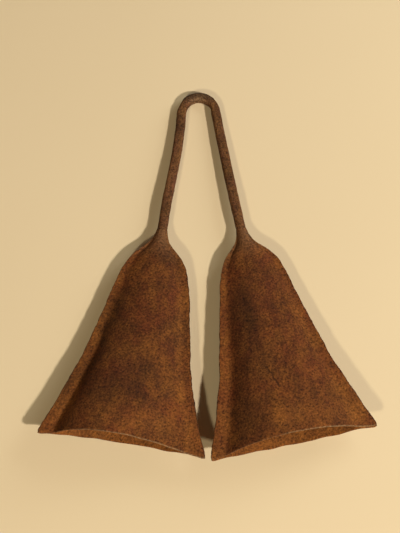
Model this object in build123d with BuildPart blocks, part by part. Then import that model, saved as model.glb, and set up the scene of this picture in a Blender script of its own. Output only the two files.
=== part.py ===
from build123d import *
import os
from math import asin, atan2, cos, degrees, hypot, radians, sin, sqrt

# Forged iron double bell: two flat flared bells on one U-bent bar, lying on its back.
# Millimetres and degrees. +Z is up from the table, +Y points to the handle's arch.

# Handle: one square bar with hammered-down corners, whose limbs bow gently outwards
BAR_SIZE = 9.3
BAR_CORNER = 2.6
ARCH_RADIUS = 17.2
ARCH_LEAN = 7.0
LIMB_LENGTH = 133.0

# Tang: each end of the bar is drawn out to a round taper that the neck closes over
TANG_STEP = 0.75
TANG_LENGTH = 26.0
TANG_TIP_RADIUS = 2.3
TANG_CLEARANCE = 0.05
NECK_WALL = 1.5

# Bell outline: half-widths at distances down the bell's axis from the top of the neck
BELL_LEAN = 10.5
NECK_LENGTH = 5.0
THROAT_DROP = 30.0
THROAT_HALF = 20.0
SHOULDER_DROP = 62.0
SHOULDER_HALF = 33.8
WAIST_DROP = 140.0
WAIST_HALF = 50.2
BELL_LENGTH = 219.0
MOUTH_HALF = 77.1
MOUTH_FLARE = 19.5
RIM_BOW = 7.2
MOUTH_CORNER = 3.2

# Bell section: flat side flanges and a round-backed dome of even wall
WALL = 1.6
THROAT_FLANGE = 4.5
SHOULDER_FLANGE = 8.0
WAIST_FLANGE = 11.0
MOUTH_FLANGE = 16.0
MOUTH_RISE = 20.0

# The neck's outside wraps the tang, and the rim's middle lies above the mouth's corners
tang_root_radius = BAR_SIZE / 2 - TANG_STEP
neck_radius = tang_root_radius + TANG_CLEARANCE + NECK_WALL
rim_drop = BELL_LENGTH - RIM_BOW

# Dome stations: distance down the axis, and half the width between the two creases
stations = (
    (NECK_LENGTH, neck_radius - WALL),
    (THROAT_DROP, THROAT_HALF - THROAT_FLANGE),
    (SHOULDER_DROP, SHOULDER_HALF - SHOULDER_FLANGE),
    (WAIST_DROP, WAIST_HALF - WAIST_FLANGE),
    (BELL_LENGTH, MOUTH_HALF - MOUTH_FLANGE),
)


def crown_rise(drop):
    """Height of the dome's outside above the seam: a straight line from neck to mouth."""
    share = (drop - NECK_LENGTH) / (BELL_LENGTH - NECK_LENGTH)
    return neck_radius + share * (MOUTH_RISE - neck_radius)


# Each limb leaves the arch at one lean and reaches its bell's neck at the bell's own lean
arch_lean = radians(ARCH_LEAN)
bell_lean = radians(BELL_LEAN)
limb_lean = (arch_lean + bell_lean) / 2
arch_end_x = ARCH_RADIUS * cos(arch_lean)
arch_end_y = ARCH_RADIUS * sin(arch_lean)
neck_x = arch_end_x + LIMB_LENGTH * sin(limb_lean)
neck_y = arch_end_y - LIMB_LENGTH * cos(limb_lean)

# The bell lies on the arch's outer corner and on the lowest points of its two back rims,
# so the seam plane, where all plates meet and the bar's middle runs, tilts down to the arch
rest_run = ARCH_RADIUS + BAR_SIZE / 2 - BAR_CORNER - neck_y + rim_drop * cos(bell_lean)
rest_fall = crown_rise(rim_drop) - (BAR_SIZE / 2 - BAR_CORNER)
rest_tilt = atan2(rest_fall, rest_run) - asin(BAR_CORNER / hypot(rest_run, rest_fall))
seam = Plane(origin=(0, 0, 0), x_dir=(1, 0, 0), z_dir=(0, sin(rest_tilt), cos(rest_tilt)))


def neck_plane(side):
    """Seam plane at a neck, turned so that its Y runs up the bell's axis (side is +1 or -1)."""
    turned = seam.x_dir * cos(bell_lean) + seam.y_dir * (side * sin(bell_lean))
    return Plane(origin=seam.from_local_coords((side * neck_x, neck_y, 0)), x_dir=turned, z_dir=seam.z_dir)


def across(plane, drop):
    """Plane square to a bell's axis at a drop, facing the mouth, with its Y off the seam."""
    return Plane(origin=plane.from_local_coords((0, -drop, 0)), x_dir=plane.x_dir, z_dir=-plane.y_dir)


bell_plane = neck_plane(1)

# Outline of one plate on the seam plane
with BuildSketch(bell_plane) as plate_outline:
    with BuildLine():
        with BuildLine() as side:
            Line((neck_radius, 0), (neck_radius, -NECK_LENGTH))
            Spline(
                (neck_radius, -NECK_LENGTH),
                (THROAT_HALF, -THROAT_DROP),
                (SHOULDER_HALF, -SHOULDER_DROP),
                (WAIST_HALF, -WAIST_DROP),
                (MOUTH_HALF, -BELL_LENGTH),
                tangents=[(0, -1), (sin(radians(MOUTH_FLARE)), -cos(radians(MOUTH_FLARE)))],
            )
        mirror(side.line, about=Plane.YZ)
        Line((-neck_radius, 0), (neck_radius, 0))
        ThreePointArc((MOUTH_HALF, -BELL_LENGTH), (0, -rim_drop), (-MOUTH_HALF, -BELL_LENGTH))
    make_face()
    fillet(plate_outline.vertices().group_by(Axis.Y)[0], radius=MOUTH_CORNER)


def dome_segment(drop, half_chord, rise, offset):
    """Circle's segment at a drop, its arc offset outwards by a wall, with a skirt below the seam."""
    radius = (half_chord**2 + rise**2) / (2 * rise)
    reach = sqrt((radius + offset) ** 2 - (rise - radius) ** 2)
    with BuildSketch(across(bell_plane, drop)) as segment:
        with BuildLine():
            ThreePointArc((-reach, 0), (0, rise + offset), (reach, 0))
            Polyline((reach, 0), (reach, -WALL), (-reach, -WALL), (-reach, 0))
        make_face()
    return segment.sketch


def dome_segments(offset):
    """The dome's segments at all stations, inside (offset 0) or outside (offset WALL)."""
    return [dome_segment(drop, half, crown_rise(drop) - WALL, offset) for drop, half in stations]


# The hollow starts where the tang ends: above that the two necks are hammered solid round it
with BuildPart() as hollow:
    loft(dome_segments(0))
    split(bisect_by=across(bell_plane, TANG_LENGTH), keep=Keep.TOP)

# Right bell's front plate: a dome and flat flanges, trimmed to the outline and the seam,
# then hollowed, with half of the tang's socket in its neck
with BuildPart() as right_bell_front:
    loft(dome_segments(WALL))
    extrude(dome_segment(0, neck_radius - WALL, neck_radius - WALL, WALL), amount=NECK_LENGTH)
    extrude(plate_outline.sketch, amount=WALL)
    extrude(plate_outline.sketch, amount=2 * MOUTH_RISE, mode=Mode.INTERSECT)
    add(hollow.part, mode=Mode.SUBTRACT)
    with BuildSketch(across(bell_plane, 0)):
        Circle(tang_root_radius + TANG_CLEARANCE)
    with BuildSketch(across(bell_plane, TANG_LENGTH)):
        Circle(TANG_TIP_RADIUS + TANG_CLEARANCE)
    loft(mode=Mode.SUBTRACT)

# Its back plate meets it face to face on the seam
with BuildPart() as right_bell_back:
    mirror(right_bell_front.part, about=seam)

# The left bell is the right one's mirror image
with BuildPart() as left_bell_front:
    mirror(right_bell_front.part, about=Plane.YZ)

with BuildPart() as left_bell_back:
    mirror(right_bell_back.part, about=Plane.YZ)

# Handle: the bar swept along limb, arch and limb, with a tang at each end
with BuildPart() as handle:
    with BuildLine(seam) as bar_path:
        TangentArc((neck_x, neck_y), (arch_end_x, arch_end_y), tangent=(-sin(bell_lean), cos(bell_lean)))
        ThreePointArc((arch_end_x, arch_end_y), (0, ARCH_RADIUS), (-arch_end_x, arch_end_y))
        TangentArc((-neck_x, neck_y), (-arch_end_x, arch_end_y), tangent=(sin(bell_lean), cos(bell_lean)))
    with BuildSketch(across(bell_plane, 0)):
        RectangleRounded(BAR_SIZE, BAR_SIZE, BAR_CORNER)
    sweep(path=bar_path.line)
    for side_sign in (1, -1):
        with BuildSketch(across(neck_plane(side_sign), 0)):
            Circle(tang_root_radius)
        with BuildSketch(across(neck_plane(side_sign), TANG_LENGTH)):
            Circle(TANG_TIP_RADIUS)
        loft()

pieces = {
    "handle": handle,
    "left_bell_front": left_bell_front,
    "left_bell_back": left_bell_back,
    "right_bell_front": right_bell_front,
    "right_bell_back": right_bell_back,
}

# The origin is under the middle of the whole object's box, on the table
box = Compound([piece.part for piece in pieces.values()]).bounding_box()
to_origin = Location((-box.center().X, -box.center().Y, -box.min.Z))

os.makedirs("parts", exist_ok=True)
for name, piece in pieces.items():
    piece.part.locate(to_origin * piece.part.location)
    piece.part.label = name
    export_step(piece.part, f"parts/{name}.step")

print(f"rest tilt {degrees(rest_tilt):.3f} degrees, box {box.size.X:.2f} x {box.size.Y:.2f} x {box.size.Z:.2f}")
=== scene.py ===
import logging
import math
from dataclasses import dataclass
from enum import Enum
from typing import Any, Sequence

import bmesh
import bpy
from mathutils import Matrix, Vector, noise


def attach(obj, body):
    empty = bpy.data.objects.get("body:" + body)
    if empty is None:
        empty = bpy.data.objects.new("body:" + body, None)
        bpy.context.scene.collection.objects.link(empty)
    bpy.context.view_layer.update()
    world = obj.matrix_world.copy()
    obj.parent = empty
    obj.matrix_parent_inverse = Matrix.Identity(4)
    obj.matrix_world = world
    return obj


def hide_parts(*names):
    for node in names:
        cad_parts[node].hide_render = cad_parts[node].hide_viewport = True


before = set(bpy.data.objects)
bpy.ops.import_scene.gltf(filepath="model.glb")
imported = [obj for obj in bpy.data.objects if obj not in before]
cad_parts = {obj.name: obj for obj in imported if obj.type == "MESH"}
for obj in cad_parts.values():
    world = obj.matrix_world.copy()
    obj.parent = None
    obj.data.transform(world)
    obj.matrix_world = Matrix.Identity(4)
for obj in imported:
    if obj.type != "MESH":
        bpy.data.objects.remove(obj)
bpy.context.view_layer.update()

LOG = logging.getLogger("double_bell")
MM = 0.001

# Millimetres within which the bar's points are merged and a plate's slivers dissolved
MERGE_MM = 0.01
SLIVER_MM = 0.005

# Distance in the noise from one layer of hammer marks to the next
LAYER_STEP = 7.31

# Sockets of a Mix node that mixes colours: its share, the colours under and over, and its result
MIX_SHARE = 0
MIX_UNDER = 6
MIX_OVER = 7
MIX_RESULT = 2

# A pair of numbers, such as a place and its value
Point = tuple[float, float]

# Where an effect starts and where it is full
Span = tuple[float, float]


class Side(Enum):
    """Which of the two bells, as the sign of its X."""

    LEFT = -1
    RIGHT = 1


class Face(Enum):
    """Which half plate of a bell, as the sign of its height off the seam."""

    FRONT = 1
    BACK = -1


def linear_colour(hex_code: str) -> tuple[float, float, float, float]:
    """Turn an sRGB hex value into a linear colour.

    Args:
        hex_code: six hex digits.

    Returns:
        Linear red, green, blue and an alpha of 1.
    """
    channels = [int(hex_code[start:start + 2], 16) / 255 for start in (0, 2, 4)]
    red, green, blue = (c / 12.92 if c <= 0.04045 else ((c + 0.055) / 1.055) ** 2.4 for c in channels)
    return red, green, blue, 1.0


def add_node(
    tree: bpy.types.NodeTree, kind: str, inputs: dict[Any, Any], **settings: Any
) -> bpy.types.Node:
    """Add one node with its settings, its constants and its links.

    Args:
        tree: the material's node tree.
        kind: Blender's name for the node's type.
        inputs: socket name or number to a constant, or to the output socket linked into it.
        settings: the node's own properties.

    Returns:
        The new node.
    """
    node = tree.nodes.new(kind)
    for name, value in settings.items():
        setattr(node, name, value)
    for socket, value in inputs.items():
        if isinstance(value, bpy.types.NodeSocket):
            tree.links.new(value, node.inputs[socket])
        else:
            node.inputs[socket].default_value = value
    return node


def per_metre(millimetres: float) -> float:
    """Texture scale that gives a pattern of this size in millimetres."""
    return 1.0 / (millimetres * MM)


def smooth_through(points: Sequence[Point], place: float) -> float:
    """Read a smooth curve through points at a place, with the slopes of the neighbours' chords.

    Args:
        points: pairs of place and value, in rising order of place.
        place: where to read the curve; it is held inside the first and last place.

    Returns:
        The curve's value.
    """
    place = min(max(place, points[0][0]), points[-1][0])
    index = next(i for i in range(len(points) - 1) if place <= points[i + 1][0])
    (x0, y0), (x1, y1) = points[index], points[index + 1]

    def slope(at: int) -> float:
        """Slope of the chord between the neighbours of one point."""
        low, high = points[max(at - 1, 0)], points[min(at + 1, len(points) - 1)]
        return (high[1] - low[1]) / (high[0] - low[0])

    share = (place - x0) / (x1 - x0)
    rest = 1 - share
    ease = share * share * (3 - 2 * share)
    bend = share * rest * (x1 - x0) * (rest * slope(index) - share * slope(index + 1))
    return y0 + (y1 - y0) * ease + bend


def smooth_step(low: float, high: float, value: float) -> float:
    """Ease from 0 at low to 1 at high."""
    share = min(max((value - low) / (high - low), 0.0), 1.0)
    return share * share * (3 - 2 * share)


def smooth_max(first: float, second: float, blend: float) -> float:
    """Larger of two heights, rounded over where they are nearer than the blend."""
    near = max(blend - abs(first - second), 0) / blend
    return max(first, second) + near * near * blend / 4


def hammering(x: float, y: float, blow: float, layer: float) -> float:
    """Uneven height of hammered metal, about -1 to 1.

    Args:
        x: place across, in millimetres.
        y: place along, in millimetres.
        blow: width of one hammer mark, in millimetres.
        layer: number that gives another surface of the same kind.

    Returns:
        The height at that place.
    """
    return noise.noise(Vector((x / blow, y / blow, layer * LAYER_STEP)))


@dataclass(frozen=True)
class RustedIron:
    """Wrought iron with an old rust patina, hammered hot and never ground.

    To the eye it is a matt dark red-brown, clouded with blackish fire scale, orange where the rust
    is new on the flanges, and grainy all over from pitting. Its masks also carry painted shade and
    painted highlight. A noise is its detail and roughness, and a range is the part of a pattern's
    values over which its effect goes from none to full.
    """

    name: str
    scale_colour: str
    brown_colour: str
    rust_and_highlight_colour: str
    soot_and_shade_colour: str = "2A190B"
    wear_and_highlight_colour: str = "93744F"
    cloud_mm: float = 34.0
    cloud_noise: Point = (5.0, 0.62)
    cloud_range: Span = (0.3, 0.68)
    rust_mm: float = 11.0
    rust_noise: Point = (6.0, 0.68)
    rust_range: Span = (0.32, 0.9)
    streak: float = 0.55
    # Real grain and pits are finer; these are drawn coarse enough to show in the render
    grain_mm: float = 1.9
    grain_noise: Point = (5.0, 0.66)
    grain_range: Span = (0.3, 0.7)
    grain_depth: float = 0.72
    pit_mm: float = 3.4
    pit_range: Span = (0.08, 0.3)
    pit_shade: float = 0.55
    pit_depth: float = 0.6
    bump_mm: float = 0.75
    gloss_range: Span = (0.3, 0.7)
    roughness: Span = (0.68, 0.92)
    specular: float = 0.12

    def make(self) -> bpy.types.Material:
        """Build the node material.

        Returns:
            The material, which reads Object coordinates and the piece's own masks.
        """
        material = bpy.data.materials.new(self.name)
        material.use_nodes = True
        tree = material.node_tree
        shader = tree.nodes["Principled BSDF"]
        place = add_node(tree, "ShaderNodeTexCoord", {}).outputs["Object"]
        streaks = add_node(tree, "ShaderNodeMapping", {"Vector": place, "Scale": (1.0, self.streak, 1.0)})
        # The masks mix real colour with painted light: rust with a painted highlight, soot with painted
        # shade, bare metal with a painted highlight
        masks = {
            name: add_node(tree, "ShaderNodeAttribute", {}, attribute_name=name).outputs["Fac"]
            for name in ("rust_and_highlight", "soot_and_shade", "worn")
        }
        cloud, rust, grain = (
            add_node(
                tree, "ShaderNodeTexNoise",
                {"Vector": vector, "Scale": per_metre(size), "Detail": detail, "Roughness": roughness},
            ).outputs["Fac"]
            for vector, size, (detail, roughness) in (
                (place, self.cloud_mm, self.cloud_noise),
                (streaks.outputs["Vector"], self.rust_mm, self.rust_noise),
                (place, self.grain_mm, self.grain_noise),
            )
        )
        pits = add_node(
            tree, "ShaderNodeTexVoronoi",
            {"Vector": place, "Scale": per_metre(self.pit_mm), "Randomness": 1.0}).outputs["Distance"]
        clouded, rusted = (
            add_node(
                tree, "ShaderNodeMapRange", {"Value": value, "From Min": low, "From Max": high},
                interpolation_type="SMOOTHSTEP").outputs["Result"]
            for value, (low, high) in ((cloud, self.cloud_range), (rust, self.rust_range))
        )
        rust_and_highlight = add_node(
            tree, "ShaderNodeMath", {0: masks["rust_and_highlight"], 1: rusted}, operation="ADD", use_clamp=True)

        # Each coat lies over the one before it: brown on fire scale, then rust with a painted highlight,
        # soot with painted shade, and bare metal with a painted highlight
        coat = linear_colour(self.scale_colour)
        for share, over in (
            (clouded, self.brown_colour),
            (rust_and_highlight.outputs[0], self.rust_and_highlight_colour),
            (masks["soot_and_shade"], self.soot_and_shade_colour),
            (masks["worn"], self.wear_and_highlight_colour),
        ):
            coat = add_node(
                tree, "ShaderNodeMix",
                {MIX_SHARE: share, MIX_UNDER: coat, MIX_OVER: linear_colour(over)},
                data_type="RGBA").outputs[MIX_RESULT]

        grain_shade = add_node(
            tree, "ShaderNodeMapRange",
            {"Value": grain, "From Min": self.grain_range[0], "From Max": self.grain_range[1],
             "To Min": 1 - self.grain_depth, "To Max": 1 + self.grain_depth}).outputs["Result"]
        pit_floor = add_node(
            tree, "ShaderNodeMapRange",
            {"Value": pits, "From Min": self.pit_range[0], "From Max": self.pit_range[1],
             "To Min": self.pit_shade}).outputs["Result"]
        speckle = add_node(tree, "ShaderNodeMath", {0: grain_shade, 1: pit_floor}, operation="MULTIPLY")
        grainy = add_node(
            tree, "ShaderNodeMix", {MIX_SHARE: 1.0, MIX_UNDER: coat, MIX_OVER: speckle.outputs[0]},
            data_type="RGBA", blend_type="MULTIPLY")
        tree.links.new(grainy.outputs[MIX_RESULT], shader.inputs["Base Color"])
        gloss = add_node(
            tree, "ShaderNodeMapRange",
            {"Value": rust, "From Min": self.gloss_range[0], "From Max": self.gloss_range[1],
             "To Min": self.roughness[0], "To Max": self.roughness[1]})
        tree.links.new(gloss.outputs["Result"], shader.inputs["Roughness"])
        shader.inputs["Specular IOR Level"].default_value = self.specular
        height = add_node(
            tree, "ShaderNodeMath", {0: pit_floor, 1: self.pit_depth, 2: grain}, operation="MULTIPLY_ADD")
        bump = add_node(
            tree, "ShaderNodeBump",
            {"Height": height.outputs[0], "Strength": 1.0, "Distance": self.bump_mm * MM})
        tree.links.new(bump.outputs["Normal"], shader.inputs["Normal"])
        return material


@dataclass(frozen=True)
class BackdropPaper:
    """Matt buff backdrop paper: plain, with a faint unevenness in its dye."""

    light_colour: str = "E9CEA2"
    deep_colour: str = "E5CA9E"
    cloud_mm: float = 260.0
    roughness: float = 0.95
    specular: float = 0.1

    def make(self) -> bpy.types.Material:
        """Build the paper's node material.

        Returns:
            The material.
        """
        material = bpy.data.materials.new("buff_backdrop_paper")
        material.use_nodes = True
        tree = material.node_tree
        shader = tree.nodes["Principled BSDF"]
        place = add_node(tree, "ShaderNodeTexCoord", {}).outputs["Object"]
        cloud = add_node(tree, "ShaderNodeTexNoise", {"Vector": place, "Scale": per_metre(self.cloud_mm)})
        dye = add_node(
            tree, "ShaderNodeMix",
            {MIX_SHARE: cloud.outputs["Fac"], MIX_UNDER: linear_colour(self.deep_colour),
             MIX_OVER: linear_colour(self.light_colour)},
            data_type="RGBA")
        tree.links.new(dye.outputs[MIX_RESULT], shader.inputs["Base Color"])
        shader.inputs["Roughness"].default_value = self.roughness
        shader.inputs["Specular IOR Level"].default_value = self.specular
        return material


@dataclass(frozen=True)
class Seam:
    """The tilted plane in which the bar runs and the plates meet, with the bells' places on it.

    Its own origin is the centre of the handle's arch, and its sizes are in millimetres.
    """

    arch_centre_y: float = 167.381
    arch_centre_z: float = 5.455
    tilt_deg: float = 2.384
    arch_radius: float = 17.2
    arch_lean_deg: float = 7.0
    bell_lean_deg: float = 10.5
    limb_length: float = 133.0
    left_shift: Point = (-0.4, 1.8)

    @property
    def arch_lean(self) -> float:
        """Lean of a limb where it leaves the arch, in radians."""
        return math.radians(self.arch_lean_deg)

    @property
    def bell_lean(self) -> float:
        """Lean of a bell's axis, in radians."""
        return math.radians(self.bell_lean_deg)

    @property
    def neck(self) -> Vector:
        """Top of the right bell's neck, worked out from the limb that leads to it.

        Returns:
            The point, in seam millimetres.
        """
        lean = (self.arch_lean + self.bell_lean) / 2
        across = self.arch_radius * math.cos(self.arch_lean) + self.limb_length * math.sin(lean)
        along = self.arch_radius * math.sin(self.arch_lean) - self.limb_length * math.cos(lean)
        return Vector((across, along, 0))

    def to_world(self) -> Matrix:
        """Place the seam in the part's frame.

        Returns:
            The matrix from seam millimetres to the part's metres.
        """
        place = Matrix.Translation((0, self.arch_centre_y, self.arch_centre_z))
        turn = Matrix.Rotation(-math.radians(self.tilt_deg), 4, "X")
        return Matrix.Scale(MM, 4) @ place @ turn

    def bell_to_seam(self, side: Side) -> Matrix:
        """Place a bell on the seam.

        Args:
            side: which bell.

        Returns:
            The matrix from the bell's own millimetres to the seam's: X runs across the bell to the
            right, Y up its axis from the neck's top and Z off the seam.
        """
        neck = Vector((side.value * self.neck.x, self.neck.y, 0))
        if side is Side.LEFT:
            neck += Vector((*self.left_shift, 0))
        return Matrix.Translation(neck) @ Matrix.Rotation(side.value * self.bell_lean, 4, "Z")


def finish_piece(
    shape: bmesh.types.BMesh, name: str, material: bpy.types.Material
) -> bpy.types.Object:
    """Flatten a finished bmesh where it rests on the floor and make it the object for a CAD node.

    Args:
        shape: the mesh, already in the part's frame; it is freed.
        name: the object's name, which is also the name of the CAD node that it replaces.
        material: its finish.

    Returns:
        The object, riding on the root body.
    """
    for vertex in shape.verts:
        vertex.co.z = max(vertex.co.z, 0.0)
    bmesh.ops.recalc_face_normals(shape, faces=shape.faces[:])
    mesh = bpy.data.meshes.new(name)
    shape.to_mesh(mesh)
    shape.free()
    mesh.materials.append(material)
    mesh.shade_smooth()
    piece = bpy.data.objects.new(name, mesh)
    bpy.context.scene.collection.objects.link(piece)
    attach(piece, "root")
    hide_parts(name)
    return piece


@dataclass
class BentBar:
    """The handle: one square bar with hammered-down corners, bent to a U between the two necks.

    Sizes are in millimetres.
    """

    seam: Seam
    size: float = 9.3
    corner: float = 2.6
    corner_steps: int = 5
    flat_cuts: int = 5
    limb_steps: int = 90
    arch_steps: int = 44

    # Each end is rounded to fit its neck and drawn out to a tang
    neck_radius: float = 4.85
    neck_blend: float = 16.0
    tang_length: float = 26.0
    tang_tip_radius: float = 2.3

    # The right limb bows; the left one sways and follows its neck's shift over a span of its length
    right_bow: float = 0.45
    left_sway: float = 0.75
    shift_span: Span = (0.5, 1.0)

    # The arch is thinner at its shoulders, whose spans are sines of the angle round the arch
    shoulder_thin: float = 0.16
    left_slack: float = 0.75
    shoulder_foot: Span = (0.0, 0.35)
    shoulder_top: Span = (0.55, 0.9)

    # The crown has a ridge along its top, from a section between a diamond and a circle
    crown_span: Span = (0.3, 0.8)
    crown_ridge: float = 0.5
    crown_half: float = 5.3
    crown_lift: float = 0.6
    crown_shear: float = 0.1
    crown_power: float = 1.6

    # The crown has a painted highlight on its inner side and painted shade on its outer upper side
    inner_highlight: float = 0.58
    outer_highlight: float = 0.14
    crown_shade: float = 0.62
    outer_span: Span = (-3.3, -1.6)
    upper_span: Span = (0.0, 2.5)

    # Hammer marks in two widths, and the patches in which the crown's painted highlight comes
    blow: float = 9.0
    blow_depth: float = 0.34
    fine_blow: float = 3.0
    fine_share: float = 0.5
    patch: float = 4.5
    blow_layer: float = 1.0
    fine_layer: float = 5.0
    patch_layer: float = 9.0
    layers_per_mm: float = 0.13

    def section(self, shape: bmesh.types.BMesh) -> list[bmesh.types.BMEdge]:
        """Make the bar's section at the right neck: a square with rounded corners.

        Args:
            shape: the mesh that gets the section.

        Returns:
            The section's edges.
        """
        ring = bmesh.ops.create_circle(shape, cap_ends=True, segments=4, radius=self.size / math.sqrt(2))
        bmesh.ops.rotate(shape, verts=ring["verts"], matrix=Matrix.Rotation(math.radians(45), 3, "Z"))
        bmesh.ops.bevel(
            shape, geom=ring["verts"], offset=self.corner, offset_type="OFFSET", affect="VERTICES",
            segments=self.corner_steps, profile=0.5, material=-1)
        bmesh.ops.delete(shape, geom=shape.faces[:], context="FACES_ONLY")
        flats = [edge for edge in shape.edges if edge.calc_length() > self.corner]
        bmesh.ops.subdivide_edges(shape, edges=flats, cuts=self.flat_cuts)
        stand = Matrix.Rotation(math.radians(90), 4, "X")
        place = self.seam.bell_to_seam(Side.RIGHT)
        bmesh.ops.transform(shape, matrix=place @ stand, verts=shape.verts[:])
        return shape.edges[:]

    def bend(self, shape: bmesh.types.BMesh, edges: Sequence[bmesh.types.BMEdge]) -> None:
        """Sweep the section up one limb, round the arch and down the other limb.

        Args:
            shape: the mesh.
            edges: the section's edges at the right neck.
        """
        seam = self.seam
        turn = seam.bell_lean - seam.arch_lean
        limb_radius = seam.limb_length / (2 * math.sin(turn / 2))
        right = seam.neck + limb_radius * Vector((math.cos(seam.bell_lean), math.sin(seam.bell_lean), 0))
        left = Vector((-right.x, right.y, 0))
        half_turn = math.pi - 2 * seam.arch_lean
        for centre, angle, steps in (
            (right, -turn, self.limb_steps),
            (Vector(), half_turn, self.arch_steps),
            (left, -turn, self.limb_steps),
        ):
            swept = bmesh.ops.spin(
                shape, geom=list(edges), cent=centre, axis=(0, 0, 1), angle=angle, steps=steps)
            edges = [item for item in swept["geom_last"] if isinstance(item, bmesh.types.BMEdge)]

    def draw_tangs(self, shape: bmesh.types.BMesh) -> None:
        """Draw both open ends out to closed tangs that run into the necks.

        Args:
            shape: the mesh of the bent bar.
        """
        for side in Side:
            to_seam = self.seam.bell_to_seam(side)
            to_bell = to_seam.inverted()
            rim = [
                edge for edge in shape.edges
                if edge.is_boundary and edge.verts[0].co.x * side.value > 0]
            grown = bmesh.ops.extrude_edge_only(shape, edges=rim)
            tip = [item for item in grown["geom"] if isinstance(item, bmesh.types.BMVert)]
            for vertex in tip:
                local = to_bell @ vertex.co
                around = Vector((local.x, 0, local.z)).normalized() * self.tang_tip_radius
                vertex.co = to_seam @ Vector((around.x, -self.tang_length, around.z))
            ends = [item for item in grown["geom"] if isinstance(item, bmesh.types.BMEdge)]
            bmesh.ops.contextual_create(shape, geom=[edge for edge in ends if edge.is_boundary])

    def crown(self, place: Vector) -> float:
        """Share of the arch's crown at a point in seam millimetres, 0 on the limbs and 1 at the top."""
        return smooth_step(*self.crown_span, place.y / (self.seam.arch_radius + self.size / 2))

    def bow(self, place: Vector) -> float:
        """Find how far a limb strays from its even curve.

        Args:
            place: the point, in seam millimetres.

        Returns:
            The shift to the right, in millimetres.
        """
        down = min(max(place.y / self.seam.neck.y, 0.0), 1.0)
        if place.x > 0:
            return self.right_bow * math.sin(math.pi * down)
        shift_x, shift_y = self.seam.left_shift
        shift = shift_x - shift_y * math.tan(self.seam.bell_lean)
        return self.left_sway * math.sin(2 * math.pi * down) + shift * smooth_step(*self.shift_span, down)

    def round_to_neck(self, place: Vector, to_seam: Matrix, square: float) -> Vector:
        """Turn the square section to a round one at a point near a neck.

        Args:
            place: the point, in seam millimetres.
            to_seam: the matrix from the bell's own millimetres.
            square: share of the square section that stays there.

        Returns:
            The moved point.
        """
        local = to_seam.inverted() @ place
        across = Vector((local.x, 0, local.z))
        across = (across.normalized() * self.neck_radius).lerp(across, square)
        return to_seam @ Vector((across.x, local.y, across.z))

    def thin_shoulder(self, place: Vector) -> Vector:
        """Draw in a point on the arch's shoulders, where the bar is hammered thinner.

        Args:
            place: the point, in seam millimetres.

        Returns:
            The moved point.
        """
        outwards = Vector((place.x, place.y, 0))
        outer = outwards.length - self.seam.arch_radius
        outwards.normalize()
        foot, top = (smooth_step(*span, outwards.y) for span in (self.shoulder_foot, self.shoulder_top))
        slack = self.left_slack if place.x < 0 else 0.0
        return place - outwards * foot * (1 - top) * (self.shoulder_thin * outer + slack)

    def ridge(self, place: Vector) -> Vector:
        """Move a point of the arch's crown from the square section to one with a ridge along its top.

        Args:
            place: the point, in seam millimetres.

        Returns:
            The moved point.
        """
        crown = self.crown_ridge * self.crown(place)
        if crown == 0:
            return place
        outwards = Vector((place.x, place.y, 0)).normalized()
        middle = outwards * self.seam.arch_radius
        around = place - middle
        angle = math.atan2(around.z, around.dot(outwards))
        reach = self.crown_half * (
            abs(math.cos(angle)) ** self.crown_power + abs(math.sin(angle)) ** self.crown_power
        ) ** (-1 / self.crown_power)
        ridged = around.normalized() * reach
        ridged += outwards * (self.crown_lift - self.crown_shear * ridged.z)
        return middle + around.lerp(ridged, crown)

    def hammer(self, shape: bmesh.types.BMesh) -> None:
        """Work the swept bar by hand, from its bows to its hammer marks, and paint the crown's highlight
        and shade.

        Args:
            shape: the mesh of the bent bar, whose normals point outwards.
        """
        worn, soot_and_shade = (shape.verts.layers.float[key] for key in ("worn", "soot_and_shade"))
        shape.normal_update()
        normals = {vertex: vertex.normal.copy() for vertex in shape.verts}
        frames = {side: self.seam.bell_to_seam(side) for side in Side}
        for vertex in shape.verts:
            place = vertex.co.copy()
            to_seam = frames[Side.RIGHT if place.x > 0 else Side.LEFT]
            place.x += self.bow(place)
            square = smooth_step(0, self.neck_blend, (to_seam.inverted() @ place).y)
            place = self.round_to_neck(place, to_seam, square)
            place = self.ridge(self.thin_shoulder(place))
            rise = self.layers_per_mm * place.z
            dent = hammering(place.x, place.y, self.blow, self.blow_layer + rise)
            dent += self.fine_share * hammering(place.x, place.y, self.fine_blow, self.fine_layer + rise)
            vertex.co = place + normals[vertex] * dent * self.blow_depth * square
            # Painted light on the crown: a painted highlight on its inner side and painted shade on its
            # outer upper side, in patches
            patchy = 1 + hammering(place.x, place.y, self.patch, self.patch_layer + rise)
            outer = math.hypot(place.x, place.y) - self.seam.arch_radius
            top = smooth_step(*self.outer_span, outer) * smooth_step(*self.upper_span, place.z)
            crown_light = self.inner_highlight + (self.outer_highlight - self.inner_highlight) * top
            vertex[worn] = crown_light * self.crown(place) * patchy
            vertex[soot_and_shade] = self.crown_shade * self.crown(place) * top

    def build(self, finish: bpy.types.Material) -> bpy.types.Object:
        """Make and dress the handle.

        Args:
            finish: the bar's iron.

        Returns:
            The handle object.
        """
        shape = bmesh.new()
        for key in ("worn", "soot_and_shade"):
            shape.verts.layers.float.new(key)
        self.bend(shape, self.section(shape))
        bmesh.ops.remove_doubles(shape, verts=shape.verts[:], dist=MERGE_MM)
        bmesh.ops.recalc_face_normals(shape, faces=shape.faces[:])
        self.hammer(shape)
        self.draw_tangs(shape)
        bmesh.ops.transform(shape, matrix=self.seam.to_world(), verts=shape.verts[:])
        return finish_piece(shape, "handle", finish)


@dataclass(frozen=True)
class Stain:
    """A soft oval patch on a plate, in the bell's own millimetres."""

    across: float
    drop: float
    half_width: float
    half_length: float
    strength: float

    def at(self, across: float, drop: float) -> float:
        """Strength of the patch at a place."""
        reach = math.hypot((across - self.across) / self.half_width, (drop - self.drop) / self.half_length)
        return self.strength * math.exp(-reach * reach)


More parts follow.
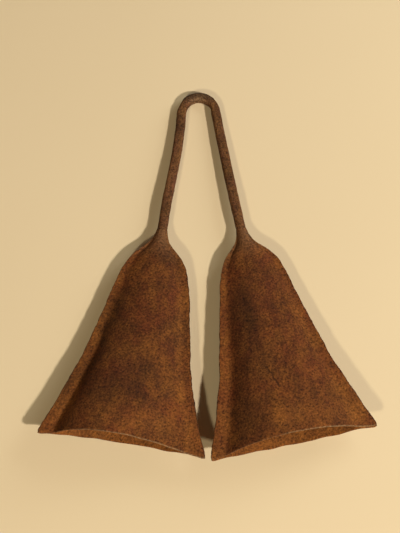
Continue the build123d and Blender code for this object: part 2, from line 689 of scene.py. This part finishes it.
@dataclass(frozen=True)
class Crack:
    """A short crooked crack in a plate, a dark groove through points in the bell's own millimetres."""

    points: Sequence[Point]
    half_width: float = 0.25
    fade: float = 1.0
    strength: float = 0.75
    depth: float = 0.5

    def at(self, across: float, drop: float) -> float:
        """Find the share of the crack at a place.

        Args:
            across: place across the bell.
            drop: place down its axis.

        Returns:
            1 on the crack's line and 0 beside it.
        """
        place = Vector((across, drop))
        nearest = math.inf
        for start, end in zip(self.points, self.points[1:]):
            run = Vector(end) - Vector(start)
            share = min(max((place - Vector(start)).dot(run) / run.length_squared, 0.0), 1.0)
            nearest = min(nearest, (place - Vector(start) - run * share).length)
        return 1 - smooth_step(self.half_width, self.half_width + self.fade, nearest)


@dataclass
class BellPlate:
    """Half of a bell: a sheet dished to a dome between two flat flanges, closed over the tang.

    Sizes are in the bell's own millimetres, and a drop runs down its axis from the neck's top. A
    share runs across the sheet from -1 to 1, and a fall along it from 0 at the neck to 1 at the rim.
    """

    seam: Seam
    side: Side
    face: Face
    length: float
    rim_bow: float
    trims: dict[float, Sequence[Point]]
    soot_and_shade: Sequence[Stain] = ()
    rust: Sequence[Stain] = ()
    skew: float = 0.0
    crack: Crack | None = None
    across_cuts: int = 110
    down_cuts: int = 170

    # Half-widths of the plate and of its dome at drops down the axis
    outline: Sequence[Point] = (
        (0, 4.3), (3, 4.8), (5, 5.15), (10, 5.9), (17, 8.5), (23, 13.2), (30, 20.0), (40, 26.4),
        (50, 30.4), (62, 33.8), (100, 41.8), (140, 50.2), (180, 62.8), (219, 77.1))
    crease: Sequence[Point] = (
        (0, 3.9), (5, 3.9), (10, 4.2), (17, 5.9), (23, 9.9), (30, 15.5), (40, 20.2), (62, 25.8),
        (100, 33.0), (140, 39.2), (180, 49.5), (219, 61.1))
    crease_share: float = 0.8
    least_flange: float = 1.0

    # Section: the wall, the rise of the dome's inside, its full flanks and the soft crease
    wall: float = 1.6
    neck_wall: float = 0.45
    wall_span: Span = (0.0, 16.0)
    neck_drop: float = 5.0
    neck_rise: float = 3.85
    mouth_rise: float = 18.4
    skew_drop: float = 70.0
    fullness: float = 1.2
    full_span: Span = (60.0, 140.0)
    crease_soft: float = 3.0
    least_soft: float = 0.01
    soft_span: Span = (20.0, 60.0)

    # Cut edges: their waves, the mouth's round corners and the bevel below the neck
    edge_wave: float = 0.8
    edge_wave_mm: float = 17.0
    edge_layer: float = 3.0
    fine_wave: float = 0.5
    fine_wave_mm: float = 4.25
    edge_reach: float = 90.0
    edge_span: Span = (0.0, 40.0)
    rim_wave: float = 0.35
    rim_wave_mm: float = 9.0
    rim_reach: float = 60.0
    rim_power: int = 6
    corner: float = 4.2
    rim_angle_deg: float = 50.0
    edge_bevel: float = 0.2
    bevel_steps: int = 2
    bevel_drop: float = 20.0

    # Hammer marks in two widths on the dome, and the warp that both plates of a bell share
    blow: float = 21.0
    blow_depth: float = 0.55
    broad_blow: float = 48.3
    broad_share: float = 0.6
    blow_span: Span = (10.0, 45.0)
    blow_power: int = 4
    first_layer: float = 11.0
    layers_per_side: float = 5.0
    layers_per_face: float = 2.0
    seam_wave: float = 0.6
    seam_wave_mm: float = 55.0
    seam_layer: float = 2.0
    seam_span: Span = (15.0, 60.0)

    # Fresh rust on the flanges and inside the mouth, and a painted highlight along the right crease
    flange_rust: float = 0.15
    flange_fade: Span = (-0.05, 0.08)
    inside_rust: float = 0.5
    inside_span: Span = (150.0, 205.0)
    crease_highlight: float = 0.18
    highlight_width: float = 0.07
    highlight_span: Span = (70.0, 110.0)

    # Painted shade along the left crease, which fades faster to the left, and a thin painted shade along
    # the cut edges
    crease_shade: float = 0.38
    shade_share: float = -0.68
    shade_widths: Point = (0.12, 0.27)
    shade_span: Span = (45.0, 85.0)
    edge_shade: float = 0.75
    shaded_edge: Span = (0.98, 1.0)
    most_soot_and_shade: float = 0.95

    # Bare metal on the neck and on the front plate's rim, where a painted highlight grows to the right
    neck_wear: float = 0.24
    neck_span: Span = (42.0, 6.0)
    rim_wear: float = 0.15
    rim_highlight: float = 0.55
    rim_highlight_span: Span = (-0.5, 0.3)
    rim_highlight_wave: float = 0.5
    rim_highlight_wave_mm: float = 14.0
    rim_edge: Span = (0.996, 1.0)

    @property
    def name(self) -> str:
        """Name of the CAD node that this plate stands for."""
        return f"{self.side.name.lower()}_bell_{self.face.name.lower()}"

    @property
    def layer(self) -> float:
        """Number that makes this plate's hammer marks its own."""
        own = self.layers_per_side * self.side.value + self.layers_per_face * self.face.value
        return self.first_layer + own

    def edge(self, hand: float, drop: float) -> float:
        """Find the half-width of the plate, with the edge's trim and waves.

        Args:
            hand: -1 for the left edge and 1 for the right one.
            drop: place down the axis.

        Returns:
            The distance from the axis to that edge.
        """
        reach = hand * self.edge_reach
        shared_layer = self.edge_layer * self.side.value
        wave = self.edge_wave * hammering(reach, drop, self.edge_wave_mm, shared_layer)
        wave += self.fine_wave * hammering(reach, drop, self.fine_wave_mm, self.layer)
        trim = smooth_through(self.trims[hand], drop)
        return smooth_through(self.outline, drop) + trim + wave * smooth_step(*self.edge_span, drop)

    def dents(self, across: float, drop: float) -> float:
        """Find the height of the hammer marks, which fade out towards the neck.

        Args:
            across: place across the bell.
            drop: place down its axis.

        Returns:
            The height off the plate.
        """
        dent = hammering(across, drop, self.blow, self.layer)
        dent += self.broad_share * hammering(across, drop, self.broad_blow, self.layer + 1)
        return self.blow_depth * dent * smooth_step(*self.blow_span, drop)

    def warp(self, across: float, drop: float) -> float:
        """Find how far the seam between the two plates is off its plane.

        Args:
            across: place across the bell.
            drop: place down its axis.

        Returns:
            The height, towards the front.
        """
        wave = hammering(across, drop, self.seam_wave_mm, self.seam_layer * self.side.value)
        return self.seam_wave * smooth_step(*self.seam_span, drop) * wave

    def point(self, share: float, fall: float, outside: bool) -> Vector:
        """Place one point of the sheet.

        Args:
            share: place across; the creases lie at plus and minus the crease's share.
            fall: place along.
            outside: whether the point is on the outer skin.

        Returns:
            The point in the bell's own millimetres.
        """
        hand = math.copysign(1.0, share)
        bow = self.rim_bow * (1 - share * share)
        bow += self.rim_wave * hammering(share * self.rim_reach, 0, self.rim_wave_mm, self.layer)
        drop = fall * self.length - bow * fall**self.rim_power

        # Section at this drop: the dome is a circle's segment between the two creases
        edge = self.edge(hand, drop)
        crease = min(smooth_through(self.crease, drop), edge - self.least_flange)
        rise_share = max(drop - self.neck_drop, 0) / (self.length - self.neck_drop)
        rise = min(self.neck_rise + rise_share * (self.mouth_rise - self.neck_rise), crease)
        radius = (crease * crease + rise * rise) / (2 * rise)
        wall = self.neck_wall + (self.wall - self.neck_wall) * smooth_step(*self.wall_span, drop)
        skin = wall if outside else 0.0
        arch = radius + skin
        reach = math.sqrt(arch**2 - (radius - rise + skin) ** 2)

        # Place across: round the dome's arc, then straight out over the flange
        inner = abs(share) / self.crease_share
        if inner <= 1:
            across = hand * arch * math.sin(inner * math.asin(min(reach / arch, 1.0)))
        else:
            out = (inner - 1) * self.crease_share / (1 - self.crease_share)
            across, drop = self.round_corner(reach + (edge - reach) * out, drop, edge)
            across *= hand

        # Height: the dome, which may lean to one side, meets the flange in a soft crease
        lean = self.skew * smooth_step(self.skew_drop, self.length, drop)
        leant = across + lean * reach * max(1 - (across / reach) ** 2, 0)
        dome = math.sqrt(max(arch**2 - leant**2, 0)) - (radius - rise)
        flank = min((leant / reach) ** 2, 1.0)
        dome += self.fullness * smooth_step(*self.full_span, drop) * 4 * flank * (1 - flank)
        soft = self.least_soft + self.crease_soft * smooth_step(*self.soft_span, drop)
        height = smooth_max(dome, skin, soft)
        height += self.dents(across, drop) * max(1 - inner**self.blow_power, 0)
        if self.crack and outside:
            height -= self.crack.depth * self.crack.at(across, drop)
        return Vector((across, -drop, self.face.value * height + self.warp(across, drop)))

    def round_corner(self, across: float, drop: float, edge: float) -> Point:
        """Pull a point of the flange in so that the mouth's corner is round.

        Args:
            across: distance from the axis.
            drop: distance down the axis.
            edge: the plate's half-width there.

        Returns:
            The new distance from the axis and down it.
        """
        inset = Vector((self.corner - (edge - across), self.corner - (self.length - drop)))
        if min(inset) <= 0:
            return across, drop
        pulled = inset * (max(inset) / inset.length)
        return across + pulled.x - inset.x, drop + pulled.y - inset.y

    def rust_and_crease_highlight(self, across: float, drop: float, share: float, outside: bool) -> float:
        """Find how much new rust lies at a place, with the painted highlight along the right crease.

        Args:
            across: place across the bell.
            drop: place down its axis.
            share: place across the sheet.
            outside: whether the place is on the outer skin.

        Returns:
            The share of rust and painted highlight.
        """
        rust = sum(stain.at(across, drop) for stain in self.rust)
        # Painted highlight: a lighter band along the right crease, on the side that faces the key light
        off_crease = (share - self.crease_share) / self.highlight_width
        along_crease = self.crease_highlight * smooth_step(*self.highlight_span, drop)
        rust += along_crease * math.exp(-off_crease * off_crease)
        rust += self.flange_rust * smooth_step(*self.flange_fade, abs(share) - self.crease_share)
        if not outside:
            rust += self.inside_rust * smooth_step(*self.inside_span, drop)
        return rust

    def soot_and_painted_shade(self, across: float, drop: float, share: float, outside: bool) -> float:
        """Find how much soot lies at a place, with the painted shade along the left crease and the cut
        edges.

        Args:
            across: place across the bell.
            drop: place down its axis.
            share: place across the sheet.
            outside: whether the place is on the outer skin.

        Returns:
            The share of soot and painted shade.
        """
        # Painted shade: a thin dark line along the cut edges, where their rounding turns away from the
        # light
        soot_and_shade = self.edge_shade * smooth_step(*self.shaded_edge, abs(share))
        if outside:
            # Painted shade: the dome's left flank, which faces away from the key light, is darkened along
            # the left crease
            off_crease = share - self.shade_share
            off_crease /= self.shade_widths[0] if off_crease < 0 else self.shade_widths[1]
            along_crease = self.crease_shade * smooth_step(*self.shade_span, drop)
            soot_and_shade += along_crease * math.exp(-off_crease * off_crease)
            soot_and_shade += sum(stain.at(across, drop) for stain in self.soot_and_shade)
        if self.crack and outside:
            soot_and_shade += self.crack.strength * self.crack.at(across, drop)
        return min(soot_and_shade, self.most_soot_and_shade)

    def bare_metal_and_highlight(self, across: float, drop: float, share: float, fall: float) -> float:
        """Find how far the rust is worn off at a place, with a painted highlight along the front plate's
        rim.

        Args:
            across: place across the bell.
            drop: place down its axis.
            share: place across the sheet.
            fall: place along the sheet.

        Returns:
            The share of bare metal and painted highlight.
        """
        neck = self.neck_wear * smooth_step(*self.neck_span, drop)
        if self.face is Face.BACK:
            return neck
        # Painted highlight: the front rim's bright line, partly bare metal, grows to the right towards the
        # key light
        wave = self.rim_highlight_wave * hammering(across, 0, self.rim_highlight_wave_mm, self.layer)
        lit_rim = self.rim_highlight * smooth_step(*self.rim_highlight_span, share + wave)
        return (self.rim_wear + lit_rim) * smooth_step(*self.rim_edge, fall) + neck

    def dish(self, shape: bmesh.types.BMesh) -> None:
        """Turn a flat grid into the plate's two skins and write the masks that the finish reads.

        Args:
            shape: the empty mesh that gets the plate.
        """
        floats = shape.verts.layers.float
        rust_and_highlight, soot_and_shade, worn, across_sheet, along_sheet = (
            floats.new(key) for key in ("rust_and_highlight", "soot_and_shade", "worn", "share", "fall"))
        sheet = bmesh.ops.create_grid(
            shape, x_segments=self.across_cuts, y_segments=self.down_cuts, size=1.0)
        for vertex in sheet["verts"]:
            vertex[across_sheet] = vertex.co.x
            vertex[along_sheet] = (vertex.co.y + 1) / 2
        grown = bmesh.ops.extrude_face_region(shape, geom=shape.faces[:], use_keep_orig=True)
        skin = {item for item in grown["geom"] if isinstance(item, bmesh.types.BMVert)}
        for vertex in shape.verts:
            share, fall = vertex[across_sheet], vertex[along_sheet]
            outside = vertex in skin
            vertex.co = self.point(share, fall, outside)
            across, drop = vertex.co.x, -vertex.co.y
            vertex[rust_and_highlight] = self.rust_and_crease_highlight(across, drop, share, outside)
            vertex[soot_and_shade] = self.soot_and_painted_shade(across, drop, share, outside)
            vertex[worn] = self.bare_metal_and_highlight(across, drop, share, fall)
        for key in ("share", "fall"):
            floats.remove(floats[key])

    def break_edges(self, shape: bmesh.types.BMesh) -> None:
        """Bevel the plate's cut edges below the neck.

        Args:
            shape: the plate's mesh, in the bell's own millimetres.
        """
        bmesh.ops.recalc_face_normals(shape, faces=shape.faces[:])
        rims = [
            edge for edge in shape.edges
            if edge.calc_face_angle(0.0) > math.radians(self.rim_angle_deg)
            and max(vertex.co.y for vertex in edge.verts) < -self.bevel_drop]
        bmesh.ops.bevel(
            shape, geom=rims, offset=self.edge_bevel, offset_type="OFFSET", affect="EDGES",
            segments=self.bevel_steps, profile=0.5, material=-1)
        bmesh.ops.dissolve_degenerate(shape, dist=SLIVER_MM, edges=shape.edges[:])

    def build(self, finish: bpy.types.Material) -> bpy.types.Object:
        """Make and dress the plate.

        Args:
            finish: the plates' iron.

        Returns:
            The plate object.
        """
        shape = bmesh.new()
        self.dish(shape)
        self.break_edges(shape)
        place = self.seam.to_world() @ self.seam.bell_to_seam(self.side)
        bmesh.ops.transform(shape, matrix=place, verts=shape.verts[:])
        return finish_piece(shape, self.name, finish)


@dataclass
class Bell:
    """One bell of two plates, with what sets it apart from its twin.

    Trims widen or narrow the left (-1) and right (1) edge at drops down the axis.
    """

    seam: Seam
    side: Side
    length: float
    front_bow: float
    back_bow: float
    trims: dict[float, Sequence[Point]]
    soot_and_shade: Sequence[Stain]
    rust: Sequence[Stain]
    skew: float = 0.0
    crack: Crack | None = None
    back_wave: float = 1.3
    back_wave_mm: float = 13.0

    def build(self, finish: bpy.types.Material) -> list[bpy.types.Object]:
        """Make the front and the back plate.

        Args:
            finish: the plates' iron.

        Returns:
            The two plate objects.
        """
        front = BellPlate(
            self.seam, self.side, Face.FRONT, self.length, self.front_bow, self.trims,
            soot_and_shade=self.soot_and_shade, rust=self.rust, skew=self.skew, crack=self.crack)
        back = BellPlate(
            self.seam, self.side, Face.BACK, self.length, self.back_bow, self.trims,
            rim_wave=self.back_wave, rim_wave_mm=self.back_wave_mm)
        return [plate.build(finish) for plate in (front, back)]


def left_bell(seam: Seam) -> Bell:
    """Describe the left bell, whose front dome leans to its outer side.

    Args:
        seam: the plane that it lies on.

    Returns:
        The bell.
    """
    trims = {
        -1.0: ((0, 0), (30, 1.0), (85, -0.6), (160, 0.8), (219, -0.5)),
        1.0: ((0, 0), (25, 2.2), (60, 2.2), (110, 1.2), (190, -0.4), (219, 0)),
    }
    soot_and_shade = (
        Stain(1, 163, 9, 24, 0.42), Stain(-10, 138, 12, 20, 0.2), Stain(-30, 88, 10, 26, 0.04),
        Stain(-14, 167, 9, 20, 0.45), Stain(-22, 174, 16, 14, 0.14), Stain(4, 80, 28, 45, 0.22),
        Stain(29, 148, 7, 20, 0.16), Stain(12, 171, 6, 12, 0.26), Stain(7, 92, 9, 14, 0.2),
        Stain(25, 124, 6, 12, 0.18), Stain(-28, 174, 8, 16, 0.25))
    rust = (
        Stain(-14, 192, 26, 14, 0.15), Stain(14, 199, 30, 12, 0.15), Stain(-6, 30, 12, 16, 0.1),
        Stain(-54, 200, 14, 16, 0.35), Stain(32, 84, 3, 18, 0.25), Stain(35, 162, 8, 10, 0.25),
        Stain(32, 193, 9, 8, 0.4))
    return Bell(
        seam, Side.LEFT, length=217.8, front_bow=7.2, back_bow=7.7, trims=trims, soot_and_shade=soot_and_shade, rust=rust,
        skew=0.35)


def right_bell(seam: Seam) -> Bell:
    """Describe the right bell, whose front plate is cracked.

    Args:
        seam: the plane that it lies on.

    Returns:
        The bell.
    """
    trims = {
        -1.0: ((0, 0), (25, 1.0), (60, 0), (130, 1.2), (190, 0.3), (219, 0)),
        1.0: ((0, 0), (30, 1.0), (75, -1.0), (150, 0.5), (219, 0)),
    }
    soot_and_shade = (
        Stain(-13, 101, 9, 28, 0.6), Stain(-12, 74, 11, 18, 0.25), Stain(-24, 134, 9, 24, 0.15),
        Stain(-36, 176, 9, 28, 0.08), Stain(-14, 172, 7, 10, 0.45), Stain(4, 58, 22, 26, 0.26),
        Stain(20, 140, 17, 9, 0.22), Stain(22, 96, 9, 26, 0.16), Stain(39, 126, 6, 12, 0.2),
        Stain(-30, 188, 8, 14, 0.2), Stain(33, 70, 3, 12, 0.2))
    rust = (
        Stain(-12, 188, 11, 20, 0.25), Stain(-11, 157, 8, 14, 0.12), Stain(31, 106, 5, 32, 0.12),
        Stain(-8, 30, 14, 16, 0.1), Stain(10, 198, 24, 12, 0.4), Stain(52, 202, 12, 12, 0.3),
        Stain(-46, 200, 14, 12, 0.25), Stain(22, 53, 3, 12, 0.25), Stain(28, 70, 3, 14, 0.2))
    crack = Crack((
        (-12.4, 146.2), (-9.6, 147.6), (-8.4, 152.4), (-6.3, 154.6), (-6.6, 159.0), (-4.6, 161.4),
        (-2.8, 167.5)))
    return Bell(
        seam, Side.RIGHT, length=217.4, front_bow=6.0, back_bow=3.8, trims=trims, soot_and_shade=soot_and_shade, rust=rust,
        crack=crack)


@dataclass(frozen=True)
class Lamp:
    """A square light that shines on the part, in metres, watts and sRGB hex.

    Its direction is the one from the part to the light.
    """

    name: str
    direction: tuple[float, float, float]
    distance: float
    size: float
    watts: float
    colour: str

    def hang(self) -> None:
        """Add the light to the scene."""
        lamp = bpy.data.lights.new(self.name, "AREA")
        lamp.size = self.size
        lamp.energy = self.watts
        lamp.color = linear_colour(self.colour)[:3]
        light = bpy.data.objects.new(self.name, lamp)
        towards = Vector(self.direction)
        light.location = towards.normalized() * self.distance
        light.rotation_euler = towards.to_track_quat("Z", "Y").to_euler()
        bpy.context.scene.collection.objects.link(light)


@dataclass
class Studio:
    """Floor, lights and the camera, which looks at its aim from a distance in millimetres."""

    aim: tuple[float, float, float] = (-2.7, -2.671, 12.535)
    distance: float = 984.57
    tilt_deg: float = 21.0
    roll_deg: float = -1.5
    lens: float = 70.0
    sensor: float = 36.0
    floor_metres: float = 3.0
    lamps: Sequence[Lamp] = (
        Lamp("key", (0.8, -0.79, 1.0), distance=3.2, size=0.19, watts=84.0, colour="FFFFFF"),
        Lamp("fill", (-0.48, -1.1, 1.0), distance=5.0, size=0.4, watts=76.0, colour="FFFFEC"),
        Lamp("wash", (0.95, 0.62, 0.55), distance=1.7, size=0.9, watts=14.0, colour="DDEBF6"))
    room_colour: str = "FFDAB3"
    room_strength: float = 0.1

    def lay_floor(self) -> None:
        """Lay the backdrop paper under the part."""
        shape = bmesh.new()
        bmesh.ops.create_grid(shape, x_segments=1, y_segments=1, size=self.floor_metres / 2)
        mesh = bpy.data.meshes.new("floor")
        shape.to_mesh(mesh)
        shape.free()
        mesh.materials.append(BackdropPaper().make())
        floor = bpy.data.objects.new("floor", mesh)
        bpy.context.scene.collection.objects.link(floor)

    def light(self) -> None:
        """Hang the lights in a dim, warm room."""
        for lamp in self.lamps:
            lamp.hang()
        world = bpy.data.worlds.new("room")
        world.use_nodes = True
        room = world.node_tree.nodes["Background"]
        room.inputs["Color"].default_value = linear_colour(self.room_colour)
        room.inputs["Strength"].default_value = self.room_strength
        bpy.context.scene.world = world

    def place_camera(self) -> None:
        """Look down at the part from the mouths' side."""
        lens = bpy.data.cameras.new("camera")
        lens.sensor_fit = "VERTICAL"
        lens.sensor_height = self.sensor
        lens.lens = self.lens
        camera = bpy.data.objects.new("camera", lens)
        tilt = Matrix.Rotation(math.radians(self.tilt_deg), 4, "X")
        roll = Matrix.Rotation(math.radians(self.roll_deg), 4, "Z")
        back = Matrix.Translation((0, 0, self.distance * MM))
        camera.matrix_world = Matrix.Translation(Vector(self.aim) * MM) @ tilt @ roll @ back
        bpy.context.scene.collection.objects.link(camera)
        bpy.context.scene.camera = camera

    def build(self) -> None:
        """Set up the whole studio."""
        self.lay_floor()
        self.light()
        self.place_camera()
        bpy.context.scene.view_settings.view_transform = "Standard"


def main() -> None:
    """Build the handle and the two bells in order, report each piece and set up the studio."""
    logging.basicConfig(level=logging.INFO, format="%(message)s")
    bar_iron = RustedIron(
        "forged_bar_iron_brown_rust", "3A2211", "653D24", "79512A", grain_depth=0.95, grain_mm=1.6)
    plate_iron = RustedIron("hammered_sheet_iron_red_rust", "46260F", "663115", "875020").make()
    seam = Seam()
    pieces = [BentBar(seam).build(bar_iron.make())]
    for bell in (left_bell(seam), right_bell(seam)):
        pieces += bell.build(plate_iron)
    for piece in pieces:
        LOG.info("%s: %d faces", piece.name, len(piece.data.polygons))
    Studio().build()


if __name__ == "__main__":
    main()
